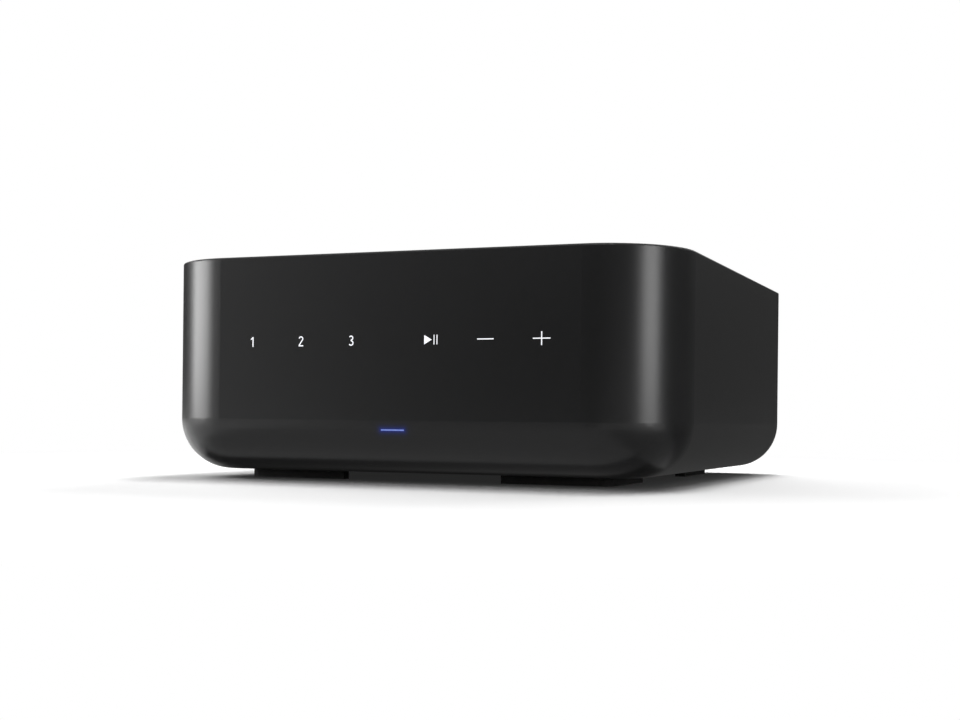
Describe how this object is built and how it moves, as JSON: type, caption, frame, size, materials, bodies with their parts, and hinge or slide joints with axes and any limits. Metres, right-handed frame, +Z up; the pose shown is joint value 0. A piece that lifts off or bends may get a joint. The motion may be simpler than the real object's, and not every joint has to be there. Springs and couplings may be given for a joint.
{
  "type": "streaming amplifier",
  "caption": "Low satin black streaming amplifier with touch marks on a seamless front, rounded corners and lower edge, and speaker posts and sockets on the back.",
  "frame": {"origin": "floor level, under the centre of the whole part, sockets included", "axes": "+X to the right seen from the front, +Y to the back with the sockets, +Z up"},
  "size_m": [0.216, 0.218, 0.0875],
  "materials": {
    "case_plastic": "satin black moulded plastic",
    "panel_paint": "matt black powder coat",
    "foot_rubber": "matt black rubber",
    "mark_white": "backlit white window",
    "led_blue": "lit blue light guide",
    "frame_plastic": "white moulded plastic",
    "board_green": "green solder mask",
    "ribbon_white": "white flat cable",
    "tray_steel": "zinc-plated steel",
    "black_steel": "black oxide steel",
    "brass": "plain brass",
    "choke_copper": "enamelled copper on a ring core",
    "fuse_glass": "clear glass in metal clips",
    "film_yellow": "yellow potted box",
    "can_black": "black sleeved can",
    "aluminium": "extruded, unpolished",
    "chip_black": "black moulding compound",
    "ferrite": "dark grey ferrite",
    "winding_tape": "yellow insulating tape",
    "shield_tin": "tin plate",
    "socket_black": "black moulded plastic",
    "pin_nickel": "nickel plate",
    "lead_blue": "blue insulated wire",
    "gold": "gold plate",
    "insert_red": "red insulator",
    "insert_white": "white insulator",
    "cap_red": "red moulded plastic",
    "cap_black": "black moulded plastic"
  },
  "bodies": {
    "chassis": {"amplifier_board": "board_green", "amplifier_chips": "chip_black", "amplifier_heatsink": "aluminium", "antennas": "shield_tin", "base_screws": "tray_steel", "board_screws": "tray_steel", "button_switches": "socket_black", "chassis_tray": "tray_steel", "ethernet_socket": "socket_black", "film_capacitors": "film_yellow", "foot_front_left": "foot_rubber", "foot_front_right": "foot_rubber", "foot_rear_left": "foot_rubber", "foot_rear_right": "foot_rubber", "icon_windows": "mark_white", "inlet_pins": "pin_nickel", "led_window": "led_blue", "light_frame": "frame_plastic", "mains_choke": "choke_copper", "mains_fuse": "fuse_glass", "mains_inlet": "socket_black", "mains_leads": "lead_blue", "module_shield": "shield_tin", "optical_socket": "socket_black", "output_inductors": "chip_black", "panel_screws": "black_steel", "post_collars": "socket_black", "post_studs": "gold", "power_board": "board_green", "power_heatsink": "aluminium", "power_transistors": "chip_black", "rca_housing": "socket_black", "rca_inserts_red": "insert_red", "rca_inserts_white": "insert_white", "rca_sleeves": "gold", "rear_panel": "panel_paint", "shell": "case_plastic", "speaker_straps": "brass", "streamer_board": "board_green", "streamer_pillars": "brass", "supply_capacitors": "can_black", "switch_housing": "socket_black", "top_cover": "case_plastic", "touch_board": "board_green", "touch_ribbon": "ribbon_white", "transformer_core": "ferrite", "transformer_winding": "winding_tape", "usb_socket": "pin_nickel"},
    "rocker": {"power_rocker": "socket_black"},
    "setup": {"setup_button": "socket_black"},
    "pairing": {"pairing_button": "socket_black"},
    "flap": {"optical_flap": "socket_black"},
    "washer_1": {"clamp_washer_1": "gold"},
    "cap_1": {"post_cap_1": "cap_black"},
    "washer_2": {"clamp_washer_2": "gold"},
    "cap_2": {"post_cap_2": "cap_red"},
    "washer_3": {"clamp_washer_3": "gold"},
    "cap_3": {"post_cap_3": "cap_black"},
    "washer_4": {"clamp_washer_4": "gold"},
    "cap_4": {"post_cap_4": "cap_red"}
  },
  "joints": [
    {"name": "rocker_tilt", "type": "hinge", "parent": "chassis", "child": "rocker", "pos_m": [-0.076, 0.091, 0.058], "axis": [1, 0, 0], "range_deg": [0, 20]},
    {"name": "setup_press", "type": "slide", "parent": "chassis", "child": "setup", "axis": [0, -1, 0], "range_m": [0, 0.0005], "stiffness_N_per_m": 800},
    {"name": "pairing_press", "type": "slide", "parent": "chassis", "child": "pairing", "axis": [0, -1, 0], "range_m": [0, 0.0005], "stiffness_N_per_m": 800},
    {"name": "flap_swing", "type": "hinge", "parent": "chassis", "child": "flap", "pos_m": [0.035, 0.0929, 0.0597], "axis": [-1, 0, 0], "range_deg": [0, 80], "stiffness_Nm_per_rad": 0.0002, "springref_deg": -17.19},
    {"name": "washer_slide_1", "type": "slide", "parent": "chassis", "child": "washer_1", "axis": [0, 1, 0], "range_m": [0, 0.0024]},
    {"name": "cap_turn_1", "type": "hinge", "parent": "washer_1", "child": "cap_1", "pos_m": [0.005, 0.1, 0.03], "axis": [0, 1, 0], "range_deg": [0, 1080]},
    {"name": "washer_slide_2", "type": "slide", "parent": "chassis", "child": "washer_2", "axis": [0, 1, 0], "range_m": [0, 0.0024]},
    {"name": "cap_turn_2", "type": "hinge", "parent": "washer_2", "child": "cap_2", "pos_m": [0.024, 0.1, 0.03], "axis": [0, 1, 0], "range_deg": [0, 1080]},
    {"name": "washer_slide_3", "type": "slide", "parent": "chassis", "child": "washer_3", "axis": [0, 1, 0], "range_m": [0, 0.0024]},
    {"name": "cap_turn_3", "type": "hinge", "parent": "washer_3", "child": "cap_3", "pos_m": [0.045, 0.1, 0.03], "axis": [0, 1, 0], "range_deg": [0, 1080]},
    {"name": "washer_slide_4", "type": "slide", "parent": "chassis", "child": "washer_4", "axis": [0, 1, 0], "range_m": [0, 0.0024]},
    {"name": "cap_turn_4", "type": "hinge", "parent": "washer_4", "child": "cap_4", "pos_m": [0.064, 0.1, 0.03], "axis": [0, 1, 0], "range_deg": [0, 1080]}
  ],
  "couplings": [
    {"joint": "cap_turn_1", "follows": "washer_slide_1", "rad_per_m": 7854},
    {"joint": "cap_turn_2", "follows": "washer_slide_2", "rad_per_m": 7854},
    {"joint": "cap_turn_3", "follows": "washer_slide_3", "rad_per_m": 7854},
    {"joint": "cap_turn_4", "follows": "washer_slide_4", "rad_per_m": 7854}
  ]
}
